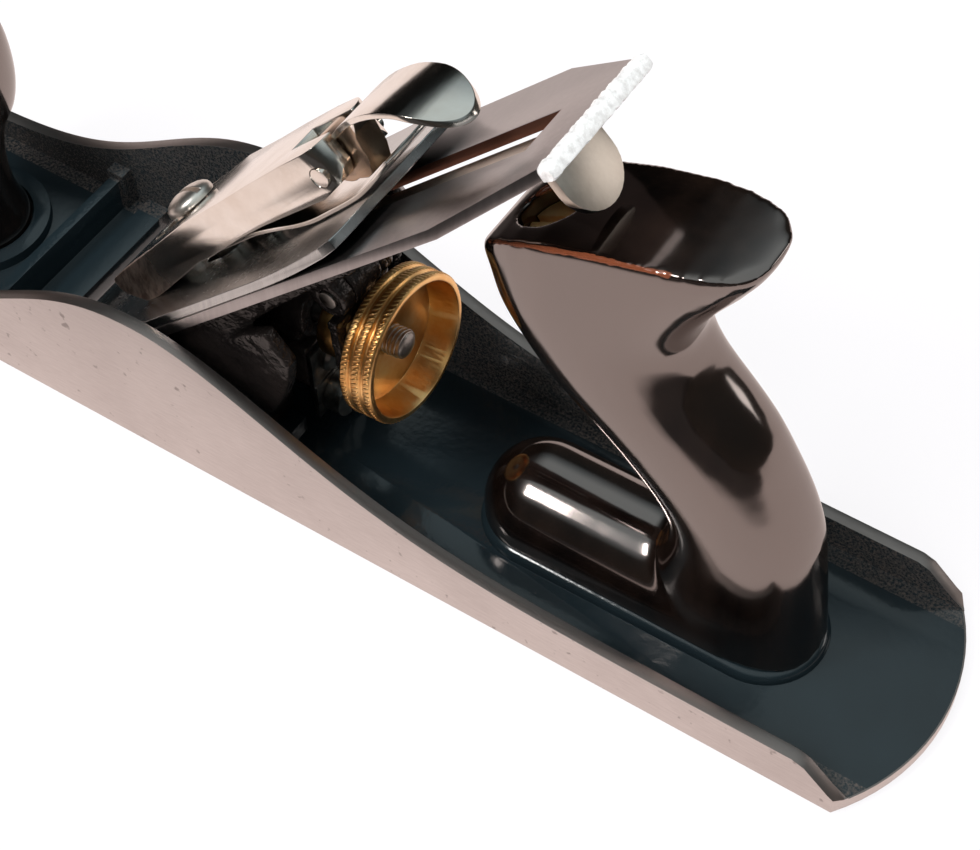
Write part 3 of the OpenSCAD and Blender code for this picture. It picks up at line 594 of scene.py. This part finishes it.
def nickel_finish(name, worn, rough_low=0.10, painted_shade_below=0.0):
    """Nickel plate: worn through on the cap's sides, or painted brown shade below a place on the bed."""
    plate = Finish(name)
    plate.put("Metallic", 1.0)
    cloud = plate.speckle(90.0, 4.0, 0.6)
    scuff = plate.speckle(1100.0, 3.0, 0.6, (1.0, 0.3, 1.0))
    tone = plate.ramp(cloud, [(0.3, (0.74, 0.66, 0.59)), (0.7, (0.86, 0.81, 0.76))])
    rough = plate.arith("ADD", plate.arith("MULTIPLY", scuff, 0.10), rough_low)
    height = plate.arith("MULTIPLY", scuff, 0.02)
    spot = plate.place()
    rise = plate.arith("SUBTRACT", plate.arith("ADD", spot["Z"], bed_edge * mm), spot["X"])
    up = plate.arith("DIVIDE", rise, root2)
    # Painted shade: below the given place on the bed the plating is coloured brown.
    if painted_shade_below:
        low = plate.arith("LESS_THAN", up, painted_shade_below)
        tone = plate.mix("RGBA", low, tone, (0.58, 0.43, 0.32, 1.0))
        rough = plate.mix("FLOAT", low, rough, 0.25)
    if worn:
        patch = plate.arith("ADD", up, plate.arith("MULTIPLY", cloud, 10.0 * mm))
        near_nose = plate.carry(patch, worn_full * mm, worn_from * mm, 1.0, 0.0)
        side = plate.arith("GREATER_THAN", plate.arith("ABSOLUTE", spot["Y"]), cap_side * mm)
        bare = plate.arith("MULTIPLY", near_nose, side)
        file_marks = plate.speckle(700.0, 4.0, 0.65, (1.0, 1.0, 0.35), (0.0, radians(-45.0), 0.0))
        skin = plate.ramp(file_marks, [(0.35, (0.42, 0.27, 0.21)), (0.6, (0.95, 0.74, 0.63))])
        tone = plate.mix("RGBA", bare, tone, skin)
        rough = plate.mix("FLOAT", bare, rough, 0.38)
        height = plate.mix("FLOAT", bare, height, file_marks)
    plate.put("Base Color", tone)
    plate.put("Roughness", rough)
    plate.relief(height, 0.35 * mm, 0.6)
    return plate.material


cap_nickel = nickel_finish("worn_nickel", True)
nickel = nickel_finish("polished_nickel", False)
# The cam's body below its tab gets a painted brown shade; its tab keeps the nickel tone.
cam_nickel = nickel_finish("cam_nickel", False, 0.10, cam_root * mm)
dull_nickel = nickel_finish("dull_nickel", False, 0.32)
for node, body, radius, sharp, plating in (
        ("lever_cap", "frog_unit", 0.7, 30.0, cap_nickel),
        ("cam_lever", "cam", 0.25, 35.0, cam_nickel),
        ("cam_pin", "frog_unit", 0.05, 30.0, cap_nickel),
        ("cap_spring", "frog_unit", 0.12, 35.0, nickel),
        ("spring_rivet", "frog_unit", 0.2, 30.0, nickel),
        ("lever_cap_screw", "frog_unit", 0.3, 30.0, dull_nickel)):
    finish_piece(rounded_copy(node, radius * mm, 3, sharp), body, "nickel", plating, node)


# The depth nut and the two cap nuts: turned brass, warm, with fine rings left by
# the lathe; the nut turns about its own axis, so its rings follow that.
def axis_place(spot, lean):
    """A spot in millimetres, with an X axis leaned about Y by some degrees."""
    return Matrix.Translation(Vector(spot) * mm) @ Matrix.Rotation(radians(lean), 4, "Y")


nut_place = axis_place((-27.5, 0.0, 36.75), 4.6)
tote_nut_place = axis_place((-60.7, 0.0, 93.4), 29.0 - 90.0)
knob_nut_place = axis_place((94.5, 0.0, 66.4), -90.0)


def brass_finish(name, place, rough_low, metal=1.0):
    """Brass whose rings run round the X axis of the given place."""
    brass = Finish(name)
    brass.put("Metallic", metal)
    shift = brass.add("ShaderNodeVectorMath", operation="SUBTRACT")
    shift.inputs[1].default_value = place.translation
    turn = brass.add("ShaderNodeVectorRotate", rotation_type="EULER_XYZ", invert=True)
    turn.inputs["Rotation"].default_value = place.to_euler()
    axes = brass.add("ShaderNodeSeparateXYZ")
    brass.join(brass.add("ShaderNodeTexCoord").outputs["Object"], shift.inputs[0])
    brass.join(shift.outputs["Vector"], turn.inputs["Vector"])
    brass.join(turn.outputs["Vector"], axes.inputs["Vector"])
    spot = axes.outputs
    radius = brass.arith("SQRT", brass.arith("ADD", brass.arith("MULTIPLY", spot["Y"], spot["Y"]),
                                             brass.arith("MULTIPLY", spot["Z"], spot["Z"])))
    ring_spot = brass.add("ShaderNodeCombineXYZ")
    brass.join(radius, ring_spot.inputs["X"])
    brass.join(spot["X"], ring_spot.inputs["Y"])
    lathe = brass.add("ShaderNodeTexNoise", Scale=2600.0, Detail=2.0, Roughness=0.5)
    brass.join(ring_spot.outputs["Vector"], lathe.inputs["Vector"])
    rings = lathe.outputs["Fac"]
    brass.put("Base Color", brass.ramp(brass.speckle(130.0, 4.0, 0.6), [
        (0.3, (0.76, 0.37, 0.11)), (0.55, (0.92, 0.55, 0.22)), (0.75, (0.98, 0.70, 0.34))]))
    brass.put("Roughness", brass.arith("ADD", brass.arith("MULTIPLY", rings, 0.18), rough_low))
    brass.relief(rings, 0.03 * mm, 0.5)
    return brass.material


nut_brass = brass_finish("turned_brass", nut_place, 0.24)
for node, body, metal in (("depth_nut", "nut", nut_brass),
                          ("tote_nut", "base", brass_finish("cap_nut_brass", tote_nut_place, 0.45, 0.35)),
                          ("knob_nut", "base", brass_finish("knob_nut_brass", knob_nut_place, 0.20))):
    finish_piece(rounded_copy(node, 0.15 * mm, 2, 30.0), body, "brass", metal, node)


# The knurl: three bands of slanted teeth pressed into the nut's rim.
# They are of the nut's own brass and turn with it.
class NodeTool(NodeBoard):
    """A geometry node group with named inputs, run once to make a plain mesh."""

    def __init__(self, name, inputs):
        super().__init__(bpy.data.node_groups.new(name, "GeometryNodeTree"))
        sockets = self.tree.interface
        self.ids = {}
        for label, kind in (("Material", "NodeSocketMaterial"), *inputs):
            self.ids[label] = sockets.new_socket(name=label, in_out="INPUT", socket_type=kind).identifier
        sockets.new_socket(name="Geometry", in_out="OUTPUT", socket_type="NodeSocketGeometry")
        self.given = self.add("NodeGroupInput").outputs
        self.result = self.add("NodeGroupOutput")

    def close(self, geometry):
        """Ends the group: real geometry in the given material."""
        real = self.add("GeometryNodeRealizeInstances")
        dress = self.add("GeometryNodeSetMaterial")
        self.join(geometry, real.inputs["Geometry"])
        self.join(real.outputs["Geometry"], dress.inputs["Geometry"])
        self.join(self.given["Material"], dress.inputs["Material"])
        self.join(dress.outputs["Geometry"], self.result.inputs["Geometry"])

    def make(self, name, place, values):
        """A smooth piece made with these values and laid at a place."""
        piece = placed(name, bpy.data.meshes.new(name))
        run = piece.modifiers.new("run", "NODES")
        run.node_group = self.tree
        for label, value in values.items():
            run[self.ids[label]] = value
        made_mesh(piece)
        piece.data.transform(place)
        smooth_all(piece.data)
        return piece


knurl = NodeTool("knurl", (("Teeth", "NodeSocketInt"), ("Radius", "NodeSocketFloat"),
                           ("Slant", "NodeSocketFloat"), ("Tooth size", "NodeSocketVector")))
row = knurl.add("GeometryNodeMeshLine", mode="OFFSET")
knurl.join(knurl.given["Teeth"], row.inputs["Count"])
index = knurl.add("GeometryNodeInputIndex")
angle = knurl.arith("MULTIPLY", knurl.arith("DIVIDE", index.outputs["Index"], knurl.given["Teeth"]), 2 * pi)
tooth_spot = knurl.add("ShaderNodeCombineXYZ")
for axis, wave in (("Y", "COSINE"), ("Z", "SINE")):
    swing = knurl.arith("MULTIPLY", knurl.arith(wave, angle), knurl.given["Radius"])
    knurl.join(swing, tooth_spot.inputs[axis])
ring = knurl.add("GeometryNodeSetPosition")
knurl.join(row.outputs["Mesh"], ring.inputs["Geometry"])
knurl.join(tooth_spot.outputs["Vector"], ring.inputs["Position"])
around = knurl.add("FunctionNodeAxisAngleToRotation", Axis=(1.0, 0.0, 0.0))
knurl.join(angle, around.inputs["Angle"])
slant = knurl.add("FunctionNodeAxisAngleToRotation", Axis=(0.0, 1.0, 0.0))
knurl.join(knurl.given["Slant"], slant.inputs["Angle"])
both = knurl.add("FunctionNodeRotateRotation", rotation_space="LOCAL")
knurl.join(around.outputs["Rotation"], both.inputs["Rotation"])
knurl.join(slant.outputs["Rotation"], both.inputs["Rotate By"])
tooth = knurl.add("GeometryNodeMeshIcoSphere", Radius=1.0, Subdivisions=2)
teeth = knurl.add("GeometryNodeInstanceOnPoints")
knurl.join(ring.outputs["Geometry"], teeth.inputs["Points"])
knurl.join(tooth.outputs["Mesh"], teeth.inputs["Instance"])
knurl.join(both.outputs["Rotation"], teeth.inputs["Rotation"])
knurl.join(knurl.given["Tooth size"], teeth.inputs["Scale"])
knurl.close(teeth.outputs["Instances"])
tooth_count = 92
knurl_radius = 15.72
for band, (start, end) in enumerate(((0.35, 1.75), (2.95, 4.55), (5.75, 7.15))):
    place = nut_place @ Matrix.Translation(Vector(((start + end) / 2 * mm, 0, 0)))
    rim = knurl.make("knurl_%d" % (band + 1), place, {
        "Material": nut_brass, "Teeth": tooth_count, "Radius": knurl_radius * mm, "Slant": radians(32.0),
        "Tooth size": ((end - start) * 0.62 * mm, 0.24 * mm, 0.36 * mm)})
    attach(rim, "nut")


# The stud the nut runs on: steel, screwed into the frog. Its thread shows inside
# the nut's cup, and its end is domed.
stud_radius = 3.0
thread_start = 2.9
dome_start = 2.75
dome_height = 0.36
finish_piece(rounded_copy("depth_stud", 0.25 * mm, 2, 30.0), "frog_unit", "screw_steel",
             screw_steel, "depth_stud")
thread = NodeTool("thread", (("Turns", "NodeSocketInt"), ("Pitch", "NodeSocketFloat"),
                             ("Radius", "NodeSocketFloat"), ("Ridge", "NodeSocketFloat")))
coil = thread.add("GeometryNodeCurveSpiral", Resolution=48)
thread.join(thread.given["Turns"], coil.inputs["Rotations"])
for coil_end in ("Start Radius", "End Radius"):
    thread.join(thread.given["Radius"], coil.inputs[coil_end])
thread.join(thread.arith("MULTIPLY", thread.given["Turns"], thread.given["Pitch"]), coil.inputs["Height"])
ridge = thread.add("GeometryNodeCurvePrimitiveCircle", Resolution=6)
thread.join(thread.given["Ridge"], ridge.inputs["Radius"])
sweep = thread.add("GeometryNodeCurveToMesh")
sweep.inputs["Fill Caps"].default_value = True
thread.join(coil.outputs["Curve"], sweep.inputs["Curve"])
thread.join(ridge.outputs["Curve"], sweep.inputs["Profile Curve"])
thread.close(sweep.outputs["Mesh"])
lay_down = Matrix.Rotation(radians(90.0), 4, "Y")
thread_place = nut_place @ Matrix.Translation(Vector((thread_start * mm, 0, 0))) @ lay_down
stud_thread = thread.make("stud_thread", thread_place, {
    "Material": screw_steel, "Turns": 4, "Pitch": 0.95 * mm,
    "Radius": (stud_radius - 0.1) * mm, "Ridge": 0.34 * mm})
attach(stud_thread, "frog_unit")
dome_radius = (stud_radius - 0.2) * mm
dome_size = Matrix.Diagonal((dome_height * dome_radius, dome_radius, dome_radius, 1.0))
dome_place = nut_place @ Matrix.Translation(Vector((dome_start * mm, 0, 0))) @ dome_size
dome_work = bmesh.new()
dome_rings = []
for row in range(1, 16):
    tilt = pi * row / 16
    around = [2 * pi * step / 32 for step in range(32)]
    dome_rings.append([dome_work.verts.new(dome_place @ Vector((
        sin(tilt) * cos(turn), sin(tilt) * sin(turn), cos(tilt)))) for turn in around])
skin_rings(dome_work, dome_rings)
for side, ring in ((1, dome_rings[0]), (-1, dome_rings[-1])):
    pole = dome_work.verts.new(dome_place @ Vector((0, 0, side)))
    for j in range(len(ring)):
        dome_work.faces.new((ring[j - 1], ring[j], pole))
dome_mesh = closed_mesh(dome_work, "stud_dome")
smooth_all(dome_mesh)
finish_piece(placed("stud_dome", dome_mesh), "frog_unit", "screw_steel", screw_steel)


# The rear grip and the front knob: a dark hardwood under a thick near-black gloss
# lacquer; the grip is sawn and rasped to shape, the knob turned.
def lacquer_finish(name, worn):
    """Near-black lacquer over a hardly seen grain, worn reddish along the grip's front top edge."""
    gloss = Finish(name)
    grain = gloss.speckle(120.0, 5.0, 0.6, (1.0, 1.0, 0.15), (0.0, radians(-30.0), 0.0))
    tone = gloss.ramp(grain, [(0.35, (0.002, 0.0012, 0.001)), (0.75, (0.009, 0.005, 0.0035))])
    if worn:
        spot = gloss.place()
        facing = gloss.facing()
        on_edge = gloss.arith("MULTIPLY", facing["Y"], facing["Z"])
        crack = gloss.arith("MULTIPLY", gloss.speckle(300.0, 4.0, 0.65), 0.5)
        front = gloss.arith("ADD", spot["X"], gloss.arith("MULTIPLY", gloss.speckle(110.0), 24.0 * mm))
        zone = gloss.arith("MULTIPLY", gloss.arith("GREATER_THAN", spot["Z"], 80.0 * mm),
                           gloss.arith("GREATER_THAN", front, -76.0 * mm))
        worn_edge = gloss.arith("MULTIPLY", gloss.arith("GREATER_THAN", on_edge, crack), zone)
        tone = gloss.mix("RGBA", worn_edge, tone, (0.16, 0.045, 0.02, 1.0))
    gloss.put("Base Color", tone)
    gloss.put("Roughness", gloss.arith("ADD", gloss.arith("MULTIPLY", grain, 0.08), 0.07))
    gloss.put("IOR", 2.65)
    gloss.put("Specular Tint", (1.0, 0.86, 0.81, 1.0))
    gloss.relief(gloss.speckle(70.0, 2.0), 0.5 * mm, 0.15)
    return gloss.material


grip_top_height = 78.4
grip_top_slope = 0.247
corner_back, corner_front, corner_low, corner_high = -95, -68, 8, 32
top_back, top_front, top_half = -114, -67, 9


def grip_easing(point):
    """How far a spot of the grip is eased: all of the corner to its front lobe, less on its sides."""
    x, y, z = point / mm
    from_top = grip_top_height - z - x * grip_top_slope
    sides = 0.6 * max(0.0, min(1.0, (from_top - 3) / 4, (z - corner_low - 1) / 4))
    in_corner = min(x - corner_back, corner_front - x, z - corner_low, corner_high - z)
    on_top = min((top_half - abs(y)) / 3, (top_front - x) / 4, (x - top_back) / 4, 2 - from_top)
    return max(sides, min(0.9, on_top), min(1.0, in_corner / 5))


finish_piece(cast_copy("tote", 0.47 * mm, 14, grip_easing, 80), "base", "handle_wood",
             lacquer_finish("grip_lacquer", True), "tote")
finish_piece(rounded_copy("knob", 0.3 * mm, 2, 30.0), "base", "handle_wood",
             lacquer_finish("knob_lacquer", False), "knob")
